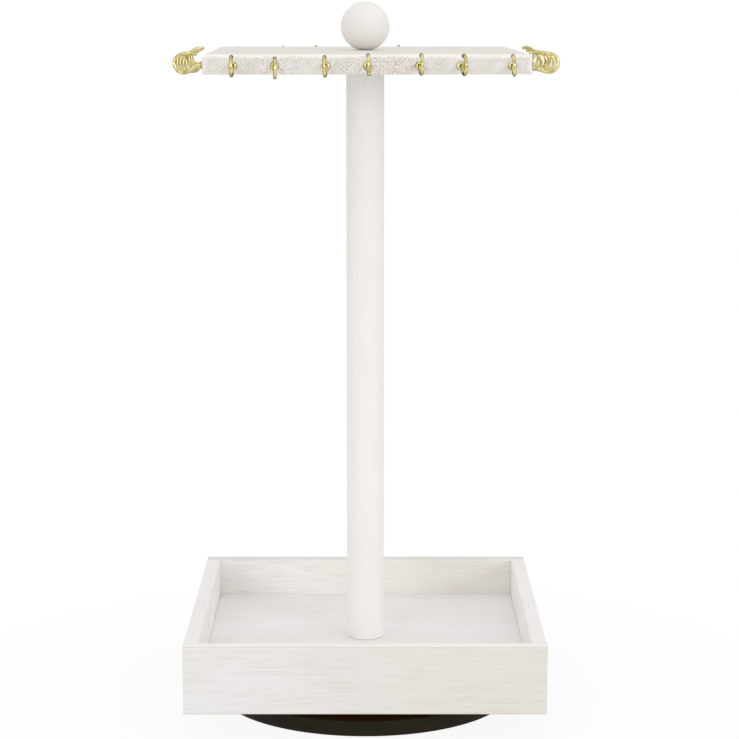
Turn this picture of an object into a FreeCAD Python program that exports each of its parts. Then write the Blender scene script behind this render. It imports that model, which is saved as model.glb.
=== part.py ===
"""Revolving jewellery stand: a square open tray on a turntable, with a post, a hook board and a ball.

Frame: +Z is up, the origin is the centre of the resting feet's underside, and -Y is the front.
Lengths are millimetres and angles are degrees.
"""
import FreeCAD, Part
import math
import os

import Sketcher

SIDES = ("front", "right", "back", "left")
HOOKS_PER_SIDE = 7
BALLS_IN_BEARING = 24
FULL_TURN = 360
QUARTER_TURN = 90
SAME_PLACE = 1e-4

# How each hook of a row ended up when it was screwed in by hand: degrees that its wire
# points to one side, and degrees that its loop leans about its own shank.
HOOK_TURNS = (-2, 3, -4, 2, 4, 8, 0)
HOOK_LEANS = (0, 0, 1.5, 2.5, 0, 1.5, 5)
# Millimetres that each loop was bent up or down from its usual height.
HOOK_LIFTS = (-0.2, -1.2, -0.3, 0.5, 0.6, 0.3, 0.1)

SIZES = {
    # turntable base
    "foot_radius": (7.0, "rubber foot, radius"),
    "foot_height": (1.5, "rubber foot, height"),
    "foot_inset": (19.0, "disc edge to the centre of a foot"),
    "disc_radius": (87.5, "turntable disc, radius"),
    "disc_thickness": (9.3, "turntable disc, thickness"),
    "disc_easing": (0.8, "turntable disc, rounding of its rims"),
    "access_radius": (5.0, "hole in the disc for reaching the upper plate's screws"),
    # bearing between the disc and the tray
    "bearing_height": (8.4, "bearing, overall height"),
    "plate_side": (100.0, "bearing plates, side of the square"),
    "plate_corner": (5.0, "bearing plates, corner radius"),
    "plate_thickness": (1.2, "bearing plates, sheet thickness"),
    "plate_hole_margin": (9.0, "bearing plates, edge to screw hole centre"),
    "race_width": (11.0, "raised race ring, width"),
    "race_rise": (1.0, "raised race ring, height above the sheet"),
    "race_web": (0.2, "groove bottom above the sheet's plane"),
    "race_gap": (0.1, "bearing ball to its groove"),
    "cage_width": (7.2, "ball cage, width of the ring"),
    "cage_thickness": (1.4, "ball cage, thickness"),
    "cage_gap": (0.2, "bearing ball to its hole in the cage"),
    "neck_radius": (27.0, "retaining neck of the lower plate, inner radius"),
    "lip_width": (3.3, "curled lip of the neck, width past the neck"),
    "lip_gap": (1.0, "lip to the inner edge of the race ring over it"),
    "retainer_gap": (0.3, "lip to the upper plate's inner flange"),
    "flange_overlap": (1.2, "inner flange under the race ring"),
    # tray
    "tray_side": (203.0, "tray, outside width and depth"),
    "wall_height": (39.0, "tray wall, height"),
    "wall_thickness": (8.4, "tray wall, thickness"),
    "wall_easing": (0.6, "tray wall, rounding of its outer arrises"),
    "floor_thickness": (16.3, "tray floor, thickness"),
    # post, board and ball
    "post_radius": (11.0, "post, radius"),
    "post_length": (337.4, "post, length"),
    "board_side": (177.8, "hook board, width and depth"),
    "board_thickness": (11.0, "hook board, thickness"),
    "board_rounding": (3.0, "hook board, rounding of its top edges and corners"),
    "board_easing": (0.8, "hook board, rounding of its lower edges"),
    "board_yaw": (0.9, "hook board, turn about the post as assembled"),
    "ball_radius": (14.0, "ball finial, radius"),
    "ball_flat": (0.5, "ball finial, depth of the flat cut on its underside"),
    # cup hooks
    "hook_end_margin": (13.9, "board corner to the pitch point of a row's end hook"),
    "hook_stagger": (2.8, "shift of every other hook along its edge"),
    "hook_level": (4.7, "hook shank above the board's underside"),
    "wire_radius": (0.95, "hook wire, radius"),
    "shank_length": (9.0, "hook shank inside the board"),
    "shank_taper": (2.0, "pointed end of the shank"),
    "collar_radius": (2.3, "hook collar, radius"),
    "collar_thickness": (1.3, "hook collar, thickness"),
    "collar_dome": (0.6, "hook collar, how much smaller its outer face is"),
    "loop_radius": (5.0, "hook loop, radius of the wire's centre line"),
    "loop_reach": (10.4, "loop centre outward of the board's edge"),
    "loop_rise": (0.4, "loop centre above the shank"),
    "bend_radius": (5.0, "downward bend between shank and loop"),
    "tip_setback": (2.4, "loop centre to the hook's tip, towards the board"),
    "tip_rounding": (0.6, "rounding of the hook's tip"),
    # fasteners
    "fit_gap": (0.05, "clearance around a fastener in its hole"),
    "brad_radius": (0.6, "brad, radius"),
    "brad_length": (18.0, "brad, length"),
    "brad_setting": (1.5, "filled depth over a brad's head"),
    "brad_margin": (9.0, "brad to the wall's upper or lower edge"),
    "floor_brad_margin": (40.0, "floor brad to the tray's corner"),
    "pan_radius": (3.0, "bearing screw, head radius"),
    "pan_height": (2.0, "bearing screw, head height"),
    "pan_shank": (1.6, "bearing screw, shank radius"),
    "base_screw_length": (7.0, "screw of the lower plate, length under its head"),
    "tray_screw_length": (10.0, "screw of the upper plate, length under its head"),
    "post_screw_length": (50.0, "post screw, overall length"),
    "post_screw_shank": (2.25, "post screw, shank radius"),
    "post_screw_head": (4.5, "post screw, head radius"),
    "post_screw_cone": (3.4, "post screw, height of its countersunk head"),
    "finial_screw_radius": (2.2, "double-ended finial screw, radius"),
    "finial_screw_in_post": (24.0, "finial screw, length inside the post"),
    "finial_screw_in_ball": (14.0, "finial screw, length inside the ball"),
}


class Size:
    """A number that remembers the spreadsheet formula it comes from."""

    def __init__(self, value, formula):
        self.value = float(value)
        self.formula = formula

    def __add__(self, other):
        return join(self, other, "+")

    def __sub__(self, other):
        return join(self, other, "-")

    def __mul__(self, other):
        return join(self, other, "*")

    def __truediv__(self, other):
        return join(self, other, "/")

    def __neg__(self):
        return Size(-self.value, f"(-{self.formula})")


def join(first, second, sign):
    """Combine two sizes, or a size and a plain number, in value and in formula alike."""
    if not isinstance(second, Size):
        second = plain(second)
    results = {
        "+": lambda: first.value + second.value,
        "-": lambda: first.value - second.value,
        "*": lambda: first.value * second.value,
        "/": lambda: first.value / second.value,
    }
    return Size(results[sign](), f"({first.formula} {sign} {second.formula})")


def root(size):
    return Size(math.sqrt(size.value), f"sqrt({size.formula})")


def sine(angle):
    return Size(math.sin(math.radians(angle.value)), f"sin({angle.formula})")


def cosine(angle):
    return Size(math.cos(math.radians(angle.value)), f"cos({angle.formula})")


def arc_sine(ratio):
    return Size(math.degrees(math.asin(ratio.value)), f"asin({ratio.formula})")


def plain(number):
    """A plain number as a size."""
    return Size(number, repr(number))


doc = FreeCAD.newDocument("JewelleryStand")
ZERO = plain(0)


class Values:
    """The driving dimensions as attributes, such as dim.tray_side."""


def fill_sheet():
    sheet = doc.addObject("Spreadsheet::Sheet", "Sizes")
    values = Values()
    for row, (name, (value, meaning)) in enumerate(SIZES.items(), start=1):
        sheet.set(f"A{row}", name)
        sheet.set(f"B{row}", str(value))
        sheet.set(f"C{row}", meaning)
        sheet.setAlias(f"B{row}", name)
        setattr(values, name, Size(value, f"Sizes.{name}"))
    doc.recompute()
    return values


dim = fill_sheet()

# ---------------------------------------------------------------------------
# Levels and places that several pieces share
# ---------------------------------------------------------------------------
disc_bottom = dim.foot_height
disc_top = disc_bottom + dim.disc_thickness
tray_bottom = disc_top + dim.bearing_height
floor_top = tray_bottom + dim.floor_thickness
board_bottom = floor_top + dim.post_length
board_top = board_bottom + dim.board_thickness

half_tray = dim.tray_side / 2
inner_half = half_tray - dim.wall_thickness
half_board = dim.board_side / 2
half_plate = dim.plate_side / 2

foot_circle = dim.disc_radius - dim.foot_inset
plate_hole = half_plate - dim.plate_hole_margin
plate_hole_circle = plate_hole * math.sqrt(2)

# The bearing grows outwards from its neck: the lip, a gap, then the race ring.
neck_outer = dim.neck_radius + dim.plate_thickness
lip_outer = neck_outer + dim.lip_width
race_inner = lip_outer + dim.lip_gap
race_outer = race_inner + dim.race_width
ball_circle = race_inner + dim.race_width / 2
race_height = dim.plate_thickness + dim.race_rise
groove_radius = dim.bearing_height / 2 - dim.plate_thickness - dim.race_web
bearing_ball_radius = groove_radius - dim.race_gap

ball_seat = dim.ball_radius - dim.ball_flat
hook_pitch = (dim.board_side - dim.hook_end_margin * 2) / (HOOKS_PER_SIDE - 1)


# ---------------------------------------------------------------------------
# Modelling helpers
# ---------------------------------------------------------------------------
def bind(thing, **properties):
    """Bind properties to sizes; two underscores in a name stand for a dot."""
    for name, size in properties.items():
        thing.setExpression(name.replace("__", "."), size.formula)


def place(thing, x=ZERO, y=ZERO, z=ZERO, turn=ZERO, roll=ZERO):
    """Put an object at a bound position, turned about Z and rolled about its own X."""
    spin = f"rotation(vector(0; 0; 1); {turn.formula})"
    tilt = f"rotation(vector(1; 0; 0); {roll.formula})"
    spot = f"vector({x.formula}; {y.formula}; {z.formula})"
    thing.setExpression("Placement", f"placement({spot}; {spin} * {tilt})")


def new_body(name):
    body = doc.addObject("PartDesign::Body", name)
    body.Label = name
    return body


def new_sketch(body, name, role, shift=ZERO, turn=ZERO):
    """A sketch on one of the body's own origin planes, shifted along the plane's normal."""
    plane = next(item for item in body.Origin.OriginFeatures if item.Role == role)
    sketch = body.newObject("Sketcher::SketchObject", name)
    sketch.AttachmentSupport = [(plane, "")]
    sketch.MapMode = "FlatFace"
    offset = f"vector(0; 0; {shift.formula})"
    rotation = f"rotation(vector(0; 1; 0); {turn.formula})"
    sketch.setExpression("AttachmentOffset", f"placement({offset}; {rotation})")
    return sketch


def constrain(sketch, kind, *places, size=None):
    """Add a constraint; a size is bound to its formula."""
    if size is None:
        sketch.addConstraint(Sketcher.Constraint(kind, *places))
        return
    index = sketch.addConstraint(Sketcher.Constraint(kind, *places, size.value))
    sketch.setExpression(f"Constraints[{index}]", size.formula)


def pin_down(sketch, geometry, point, x, y):
    """Fix a point of a sketch at (x, y) from the sketch's origin."""
    if x.value == 0:
        constrain(sketch, "PointOnObject", geometry, point, -2)
    else:
        constrain(sketch, "DistanceX", -1, 1, geometry, point, size=x)
    if y.value == 0:
        constrain(sketch, "PointOnObject", geometry, point, -1)
    else:
        constrain(sketch, "DistanceY", -1, 1, geometry, point, size=y)


def outline(sketch, corners):
    """Draw a closed polygon through corners, each an (x, y) pair of sizes."""
    points = [FreeCAD.Vector(x.value, y.value, 0) for x, y in corners]
    lines = []
    for start, end in zip(points, points[1:] + points[:1]):
        lines.append(sketch.addGeometry(Part.LineSegment(start, end)))
    for line, following in zip(lines, lines[1:] + lines[:1]):
        constrain(sketch, "Coincident", line, 2, following, 1)
    for line, (x, y) in zip(lines, corners):
        pin_down(sketch, line, 1, x, y)


def circle(sketch, radius, x=ZERO, y=ZERO):
    centre = FreeCAD.Vector(x.value, y.value, 0)
    index = sketch.addGeometry(Part.Circle(centre, FreeCAD.Vector(0, 0, 1), radius.value))
    pin_down(sketch, index, 3, x, y)
    constrain(sketch, "Radius", index, size=radius)


def rectangle(sketch, half_x, half_y):
    outline(sketch, [(-half_x, -half_y), (half_x, -half_y), (half_x, half_y), (-half_x, half_y)])


def add_pad(body, sketch, length):
    pad = body.newObject("PartDesign::Pad", f"{body.Name}_pad")
    pad.Profile = sketch
    bind(pad, Length=length)
    doc.recompute()
    return pad


def add_revolution(body, sketch, axis="V_Axis"):
    revolution = body.newObject("PartDesign::Revolution", f"{body.Name}_revolution")
    revolution.Profile = sketch
    revolution.ReferenceAxis = (sketch, [axis])
    revolution.Angle = FULL_TURN
    doc.recompute()
    return revolution


def add_fillet(body, feature, radius, wanted):
    """Round the feature's edges whose end points satisfy wanted(points)."""
    names = []
    for number, edge in enumerate(feature.Shape.Edges, start=1):
        if wanted([vertex.Point for vertex in edge.Vertexes]):
            names.append(f"Edge{number}")
    fillet = body.newObject("PartDesign::Fillet", f"{body.Name}_fillet")
    fillet.Base = (feature, names)
    bind(fillet, Radius=radius)
    doc.recompute()
    return fillet


def same(first, second):
    return abs(first - second) < SAME_PLACE


def upright(points):
    """Whether an edge with these ends stands along Z."""
    return len(points) == 2 and not same(points[0].z, points[1].z)


def at_level(points, level):
    return all(same(point.z, level) for point in points)


def add_polar_pattern(body, feature, copies):
    """Repeat a cut all round the body's Z axis."""
    before = body.Shape.Volume
    pattern = body.newObject("PartDesign::PolarPattern", f"{feature.Name}_pattern")
    pattern.Originals = [feature]
    axis = next(item for item in body.Origin.OriginFeatures if item.Role == "Z_Axis")
    pattern.Axis = (axis, [""])
    pattern.Angle = FULL_TURN
    pattern.Occurrences = copies
    body.Tip = pattern
    doc.recompute()
    if not body.Shape.Volume < before:
        raise RuntimeError(f"{pattern.Name} cut nothing")
    return pattern


def cylinder(name, radius, height, x=ZERO, y=ZERO, z=ZERO, direction=(0, 0, 1)):
    """A cylinder that starts at (x, y, z) and runs along one of the axes."""
    rod = doc.addObject("Part::Cylinder", name)
    bind(rod, Radius=radius, Height=height)
    turned = FreeCAD.Rotation(FreeCAD.Vector(0, 0, 1), FreeCAD.Vector(*direction))
    rod.Placement = FreeCAD.Placement(FreeCAD.Vector(), turned)
    bind(rod, Placement__Base__x=x, Placement__Base__y=y, Placement__Base__z=z)
    return rod


def group(name, members):
    """Several separate solids as one object."""
    compound = doc.addObject("Part::Compound", name)
    compound.Label = name
    compound.Links = members
    return compound


def fused(name, members):
    union = doc.addObject("Part::MultiFuse", name)
    union.Label = name
    union.Shapes = members
    return union


def drilled(name, blank, tools):
    """The blank with the holes that the tools make; it takes over the sub-part's name."""
    blank.Label = f"{name}_blank"
    result = doc.addObject("Part::Cut", f"{name}_drilled")
    result.Label = name
    result.Base = blank
    result.Tool = tools
    return result


# ---------------------------------------------------------------------------
# Fasteners: each function takes a gap, so that one call makes the piece and
# another, with the fit gap, makes the hole that it goes in
# ---------------------------------------------------------------------------
def pan_screws(name, gap, spots, seat, length, points_up):
    """Pan-head screws: the shank starts at the seat and the head lies on the other side."""
    way = 1 if points_up else -1
    screws = []
    for number, (x, y) in enumerate(spots, start=1):
        shank = cylinder(f"{name}_shank_{number}", dim.pan_shank + gap, length + gap,
                         x, y, seat, (0, 0, way))
        head = cylinder(f"{name}_head_{number}", dim.pan_radius + gap, dim.pan_height + gap,
                        x, y, seat, (0, 0, -way))
        screws.append(fused(f"{name}_{number}", [shank, head]))
    return group(name, screws)


def base_plate_screws(name, gap):
    """Four screws that hold the lower plate, whose corners lie on the X and Y axes."""
    spots = [(plate_hole_circle, ZERO), (ZERO, plate_hole_circle),
             (-plate_hole_circle, ZERO), (ZERO, -plate_hole_circle)]
    seat = disc_top + dim.plate_thickness
    return pan_screws(name, gap, spots, seat, dim.base_screw_length, points_up=False)


def tray_plate_screws(name, gap):
    """Four screws that hold the upper plate to the tray floor."""
    spots = [(plate_hole, plate_hole), (-plate_hole, plate_hole),
             (-plate_hole, -plate_hole), (plate_hole, -plate_hole)]
    seat = tray_bottom - dim.plate_thickness
    return pan_screws(name, gap, spots, seat, dim.tray_screw_length, points_up=True)


def post_screw(name, gap):
    """A countersunk wood screw from under the floor, up into the post."""
    head = doc.addObject("Part::Cone", f"{name}_head")
    bind(head, Radius1=dim.post_screw_head + gap, Radius2=dim.post_screw_shank + gap,
         Height=dim.post_screw_cone, Placement__Base__z=tray_bottom)
    shank = cylinder(f"{name}_shank", dim.post_screw_shank + gap,
                     dim.post_screw_length - dim.post_screw_cone + gap,
                     z=tray_bottom + dim.post_screw_cone)
    return fused(name, [head, shank])


def finial_screw(name, gap):
    """A headless double-ended screw from the post, through the board, into the ball."""
    length = dim.finial_screw_in_post + dim.board_thickness + dim.finial_screw_in_ball
    return cylinder(name, dim.finial_screw_radius + gap, length + gap * 2,
                    z=board_bottom - dim.finial_screw_in_post - gap)


def corner_brads(name, gap):
    """Two brads at each corner, through the front and back walls into the side walls."""
    brads = []
    across = half_tray - dim.wall_thickness / 2
    heights = (tray_bottom + dim.brad_margin, tray_bottom + dim.wall_height - dim.brad_margin)
    for way in (-1, 1):
        start = (half_tray - dim.brad_setting + gap) * way
        for side in (-1, 1):
            for height in heights:
                number = len(brads) + 1
                brads.append(cylinder(f"{name}_{number}", dim.brad_radius + gap,
                                      dim.brad_length + gap * 2,
                                      across * side, start, height, (0, -way, 0)))
    return group(name, brads)


def floor_brads(name, gap):
    """Two brads through each wall into the edge of the floor."""
    brads = []
    along = half_tray - dim.floor_brad_margin
    height = tray_bottom + dim.floor_thickness / 2
    for way in (-1, 1):
        start = (half_tray - dim.brad_setting + gap) * way
        for side in (-1, 1):
            number = len(brads) + 1
            brads.append(cylinder(f"{name}_{number}", dim.brad_radius + gap,
                                  dim.brad_length + gap * 2,
                                  along * side, start, height, (0, -way, 0)))
            brads.append(cylinder(f"{name}_{number + 1}", dim.brad_radius + gap,
                                  dim.brad_length + gap * 2,
                                  start, along * side, height, (-way, 0, 0)))
    return group(name, brads)


# ---------------------------------------------------------------------------
# Turntable base
# ---------------------------------------------------------------------------
def make_feet():
    """Four rubber pads stuck under the disc."""
    spots = [(foot_circle, ZERO), (ZERO, foot_circle), (-foot_circle, ZERO), (ZERO, -foot_circle)]
    feet = []
    for number, (x, y) in enumerate(spots, start=1):
        feet.append(cylinder(f"rubber_foot_{number}", dim.foot_radius, dim.foot_height, x, y))
    return group("rubber_feet", feet)


def make_disc():
    """A black disc, with pilot holes for the lower plate and one screwdriver hole."""
    body = new_body("disc_turned")
    place(body, z=disc_bottom)
    face = new_sketch(body, "disc_face", "XY_Plane")
    circle(face, dim.disc_radius)
    circle(face, dim.access_radius, plate_hole, plate_hole)
    pad = add_pad(body, face, dim.disc_thickness)
    rim = dim.disc_radius.value
    add_fillet(body, pad, dim.disc_easing, lambda points: not upright(points)
               and same(math.hypot(points[0].x, points[0].y), rim))
    return drilled("turntable_disc", body, base_plate_screws("disc_pilot_holes", dim.fit_gap))


# ---------------------------------------------------------------------------
# Bearing
# ---------------------------------------------------------------------------
def pressed_plate(name, sheet_low, centre_hole, profile):
    """A square pressed plate: sheet with a round centre hole, a turned profile and a groove.

    The plate is made at the bearing's own level, with the disc's top at zero."""
    body = new_body(f"{name}_pressing")
    sheet = new_sketch(body, f"{name}_sheet", "XY_Plane", shift=sheet_low)
    rectangle(sheet, half_plate, half_plate)
    circle(sheet, centre_hole)
    pad = add_pad(body, sheet, dim.plate_thickness)
    side = half_plate.value
    add_fillet(body, pad, dim.plate_corner,
               lambda points: upright(points) and same(abs(points[0].x), side))
    rings = new_sketch(body, f"{name}_profile", "XZ_Plane")
    outline(rings, profile)
    add_revolution(body, rings)
    ball_path = new_sketch(body, f"{name}_groove_profile", "XZ_Plane")
    circle(ball_path, groove_radius, ball_circle, dim.bearing_height / 2)
    groove = body.newObject("PartDesign::Groove", f"{name}_groove")
    before = body.Shape.Volume
    groove.Profile = ball_path
    groove.ReferenceAxis = (ball_path, ["V_Axis"])
    groove.Angle = FULL_TURN
    doc.recompute()
    if not body.Shape.Volume < before:
        raise RuntimeError(f"the ball groove of {name} cut nothing")
    return body


def make_lower_plate():
    """The lower plate, turned an eighth of a turn, with the neck and lip that hold the upper."""
    lip_low = dim.bearing_height - race_height + dim.retainer_gap
    lip_high = lip_low + dim.plate_thickness
    profile = [(dim.neck_radius, ZERO), (race_outer, ZERO), (race_outer, race_height),
               (race_inner, race_height), (race_inner, dim.plate_thickness),
               (neck_outer, dim.plate_thickness), (neck_outer, lip_low), (lip_outer, lip_low),
               (lip_outer, lip_high), (dim.neck_radius, lip_high)]
    body = pressed_plate("lower_plate", ZERO, dim.neck_radius, profile)
    place(body, z=disc_top, turn=plain(QUARTER_TURN / 2))
    return drilled("bearing_lower_plate", body, base_plate_screws("lower_plate_holes", dim.fit_gap))


def make_upper_plate():
    """The upper plate, whose inner flange runs under the lower plate's lip."""
    sheet_low = dim.bearing_height - dim.plate_thickness
    ring_low = dim.bearing_height - race_height
    flange_low = ring_low - dim.plate_thickness
    flange_inner = neck_outer + dim.retainer_gap
    flange_outer = race_inner + dim.flange_overlap
    profile = [(flange_inner, flange_low), (flange_outer, flange_low), (flange_outer, ring_low),
               (race_outer, ring_low), (race_outer, dim.bearing_height),
               (race_inner, dim.bearing_height), (race_inner, ring_low), (flange_inner, ring_low)]
    body = pressed_plate("upper_plate", sheet_low, race_inner, profile)
    place(body, z=disc_top)
    return drilled("bearing_upper_plate", body, tray_plate_screws("upper_plate_holes", dim.fit_gap))


def make_balls():
    """Steel balls, evenly spaced on the ball circle at the bearing's mid height."""
    balls = []
    for number in range(BALLS_IN_BEARING):
        angle = plain(FULL_TURN * number / BALLS_IN_BEARING)
        ball = doc.addObject("Part::Sphere", f"steel_ball_{number + 1}")
        bind(ball, Radius=bearing_ball_radius,
             Placement__Base__x=ball_circle * cosine(angle),
             Placement__Base__y=ball_circle * sine(angle),
             Placement__Base__z=disc_top + dim.bearing_height / 2)
        balls.append(ball)
    return group("bearing_balls", balls)


def make_cage():
    """A flat ring with a hole for each ball."""
    body = new_body("ball_cage")
    place(body, z=disc_top + dim.bearing_height / 2 - dim.cage_thickness / 2)
    ring = new_sketch(body, "cage_ring", "XY_Plane")
    circle(ring, ball_circle + dim.cage_width / 2)
    circle(ring, ball_circle - dim.cage_width / 2)
    add_pad(body, ring, dim.cage_thickness)
    hole = new_sketch(body, "cage_hole", "XY_Plane")
    circle(hole, bearing_ball_radius + dim.cage_gap, ball_circle)
    pocket = body.newObject("PartDesign::Pocket", "cage_pocket")
    pocket.Profile = hole
    pocket.Type = "ThroughAll"
    pocket.Midplane = True
    doc.recompute()
    add_polar_pattern(body, pocket, BALLS_IN_BEARING)
    return body


# ---------------------------------------------------------------------------
# Tray
# ---------------------------------------------------------------------------
def make_floor():
    """A thick floor, flush with the walls' lower edges."""
    blank = doc.addObject("Part::Box", "floor_board")
    bind(blank, Length=inner_half * 2, Width=inner_half * 2, Height=dim.floor_thickness,
         Placement__Base__x=-inner_half, Placement__Base__y=-inner_half,
         Placement__Base__z=tray_bottom)
    holes = group("floor_holes", [
        tray_plate_screws("floor_pilot_holes", dim.fit_gap),
        post_screw("floor_post_screw_hole", dim.fit_gap),
        floor_brads("floor_brad_holes", dim.fit_gap),
    ])
    return drilled("tray_floor", blank, holes)


def make_wall(side, turn, half_length):
    """A tray wall, drawn as the front one and turned to its side; its arrises are eased."""
    name = f"tray_{side}_wall"
    body = new_body(f"{name}_plank")
    place(body, z=tray_bottom, turn=plain(turn))
    plan = new_sketch(body, f"{name}_plan", "XY_Plane")
    outline(plan, [(-half_length, -half_tray), (half_length, -half_tray),
                   (half_length, -inner_half), (-half_length, -inner_half)])
    pad = add_pad(body, plan, dim.wall_height)
    ends_show = half_length is half_tray
    outside = -half_tray.value
    top = dim.wall_height.value

    def eased(points):
        outer = all(same(point.y, outside) for point in points)
        lengthwise = same(points[0].y, points[1].y) and not upright(points)
        if upright(points):
            return ends_show and outer
        return lengthwise and (outer or at_level(points, top))

    add_fillet(body, pad, dim.wall_easing, eased)
    holes = group(f"{name}_holes", [
        corner_brads(f"{name}_corner_holes", dim.fit_gap),
        floor_brads(f"{name}_floor_holes", dim.fit_gap),
    ])
    return drilled(name, body, holes)


# ---------------------------------------------------------------------------
# Post, hook board and ball
# ---------------------------------------------------------------------------
def make_post():
    blank = cylinder("post_dowel", dim.post_radius, dim.post_length, z=floor_top)
    holes = group("post_holes", [
        post_screw("post_lower_hole", dim.fit_gap),
        finial_screw("post_upper_hole", dim.fit_gap),
    ])
    return drilled("post", blank, holes)


def hook_offset(index):
    """Where a hook is along its edge, seen from outside, from left to right."""
    from_middle = index - (HOOKS_PER_SIDE - 1) / 2
    place_along = hook_pitch * from_middle
    if index % 2 == 0:
        place_along = place_along + dim.hook_stagger
    return place_along


def make_board():
    """A square board with rounded top edges and a row of pilot holes in each side."""
    body = new_body("board_plank")
    place(body, z=board_bottom, turn=dim.board_yaw)
    plan = new_sketch(body, "board_plan", "XY_Plane")
    rectangle(plan, half_board, half_board)
    pad = add_pad(body, plan, dim.board_thickness)
    top = dim.board_thickness.value
    rounded = add_fillet(body, pad, dim.board_rounding,
                         lambda points: upright(points) or at_level(points, top))
    add_fillet(body, rounded, dim.board_easing, lambda points: at_level(points, 0))
    row = new_sketch(body, "pilot_hole_row", "XZ_Plane", shift=half_board)
    for index in range(HOOKS_PER_SIDE):
        circle(row, dim.wire_radius + dim.fit_gap, hook_offset(index), dim.hook_level)
    before = body.Shape.Volume
    pocket = body.newObject("PartDesign::Pocket", "pilot_holes")
    pocket.Profile = row
    bind(pocket, Length=dim.shank_length + dim.fit_gap)
    doc.recompute()
    if not body.Shape.Volume < before:
        raise RuntimeError("the pilot holes cut nothing")
    add_polar_pattern(body, pocket, len(SIDES))
    return drilled("hook_board", body, finial_screw("board_hole", dim.fit_gap))


def make_ball():
    """A ball with a small flat where it stands on the board."""
    ball = doc.addObject("Part::Sphere", "finial_turning")
    bind(ball, Radius=dim.ball_radius, Angle1=-arc_sine(ball_seat / dim.ball_radius),
         Placement__Base__z=board_top + ball_seat)
    return drilled("finial_ball", ball, finial_screw("ball_hole", dim.fit_gap))


# ---------------------------------------------------------------------------
# Cup hooks
# ---------------------------------------------------------------------------
def hook_path(sketch, rise):
    """The wire's centre line: out of the collar, down through a bend, and round the loop."""
    drop = rise + dim.bend_radius
    span = dim.loop_radius + dim.bend_radius
    straight = dim.loop_reach - root(span * span - drop * drop)
    bend_x = straight.value
    bend_y = -dim.bend_radius.value
    meeting = math.atan2(-drop.value, bend_x - dim.loop_reach.value)
    tip = math.acos(-dim.tip_setback.value / dim.loop_radius.value)
    up = FreeCAD.Vector(0, 0, 1)
    line = sketch.addGeometry(Part.LineSegment(FreeCAD.Vector(0, 0, 0),
                                               FreeCAD.Vector(bend_x, 0, 0)))
    bend_circle = Part.Circle(FreeCAD.Vector(bend_x, bend_y, 0), up, dim.bend_radius.value)
    bend = sketch.addGeometry(Part.ArcOfCircle(bend_circle, meeting + math.pi, math.pi / 2))
    centre = FreeCAD.Vector(dim.loop_reach.value, rise.value, 0)
    loop_circle = Part.Circle(centre, up, dim.loop_radius.value)
    loop = sketch.addGeometry(Part.ArcOfCircle(loop_circle, meeting, tip))
    constrain(sketch, "Coincident", line, 1, -1, 1)
    constrain(sketch, "Horizontal", line)
    constrain(sketch, "Tangent", line, 2, bend, 2)
    constrain(sketch, "Tangent", bend, 1, loop, 1)
    constrain(sketch, "Radius", bend, size=dim.bend_radius)
    constrain(sketch, "Radius", loop, size=dim.loop_radius)
    pin_down(sketch, loop, 3, dim.loop_reach, rise)
    constrain(sketch, "DistanceX", loop, 2, loop, 3, size=dim.tip_setback)


def make_hook(side, index):
    """A cup hook: a shank in the board, a collar on its edge and a bent wire."""
    name = f"hook_{SIDES[side]}_{index + 1}"
    pick = (index + 4 * side) % HOOKS_PER_SIDE
    turn = plain(HOOK_TURNS[pick])
    body = new_body(name)
    outward = dim.board_yaw + QUARTER_TURN * (side - 1)
    along = hook_offset(index)
    place(body,
          x=half_board * cosine(outward) - along * sine(outward),
          y=half_board * sine(outward) + along * cosine(outward),
          z=board_bottom + dim.hook_level,
          turn=outward, roll=plain(HOOK_LEANS[pick]))
    profile = new_sketch(body, f"{name}_shank_profile", "XZ_Plane")
    outline(profile, [
        (-dim.shank_length, ZERO), (dim.collar_thickness, ZERO),
        (dim.collar_thickness, dim.collar_radius - dim.collar_dome), (ZERO, dim.collar_radius),
        (ZERO, dim.wire_radius), (dim.shank_taper - dim.shank_length, dim.wire_radius)])
    add_revolution(body, profile, "H_Axis")
    path = new_sketch(body, f"{name}_path", "XZ_Plane", turn=turn)
    hook_path(path, dim.loop_rise + plain(HOOK_LIFTS[pick]))
    section = new_sketch(body, f"{name}_section", "YZ_Plane", turn=turn)
    circle(section, dim.wire_radius)
    wire = body.newObject("PartDesign::AdditivePipe", f"{name}_wire")
    wire.Profile = section
    wire.Spine = path
    doc.recompute()
    tip = max((vertex.Point for vertex in path.Shape.Vertexes), key=lambda point: point.z)
    reach = dim.wire_radius.value + SAME_PLACE
    add_fillet(body, wire, dim.tip_rounding, lambda points: len(points) == 1
               and (points[0] - tip).Length < reach)
    return body


# ---------------------------------------------------------------------------
# The whole stand
# ---------------------------------------------------------------------------
def make_stand():
    no_gap = ZERO
    pieces = [
        make_feet(),
        make_disc(),
        make_lower_plate(),
        base_plate_screws("lower_plate_screws", no_gap),
        make_cage(),
        make_balls(),
        make_upper_plate(),
        tray_plate_screws("upper_plate_screws", no_gap),
        make_floor(),
        make_wall("front", 0, half_tray),
        make_wall("right", QUARTER_TURN, inner_half),
        make_wall("back", 2 * QUARTER_TURN, half_tray),
        make_wall("left", 3 * QUARTER_TURN, inner_half),
        corner_brads("corner_brads", no_gap),
        floor_brads("floor_brads", no_gap),
        make_post(),
        post_screw("post_screw", no_gap),
        make_board(),
        finial_screw("finial_screw", no_gap),
        make_ball(),
    ]
    for side in range(len(SIDES)):
        for index in range(HOOKS_PER_SIDE):
            pieces.append(make_hook(side, index))
    doc.recompute()
    return pieces


def check(pieces):
    """Stop if anything in the document failed or a sub-part is not a sound solid."""
    for thing in doc.Objects:
        if "Invalid" in thing.State or "Error" in thing.State:
            raise RuntimeError(f"{thing.Label} did not rebuild: {thing.State}")
    for piece in pieces:
        if piece.Shape.isNull() or not piece.Shape.isValid() or not piece.Shape.Solids:
            raise RuntimeError(f"{piece.Label} has no sound solid")


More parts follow.
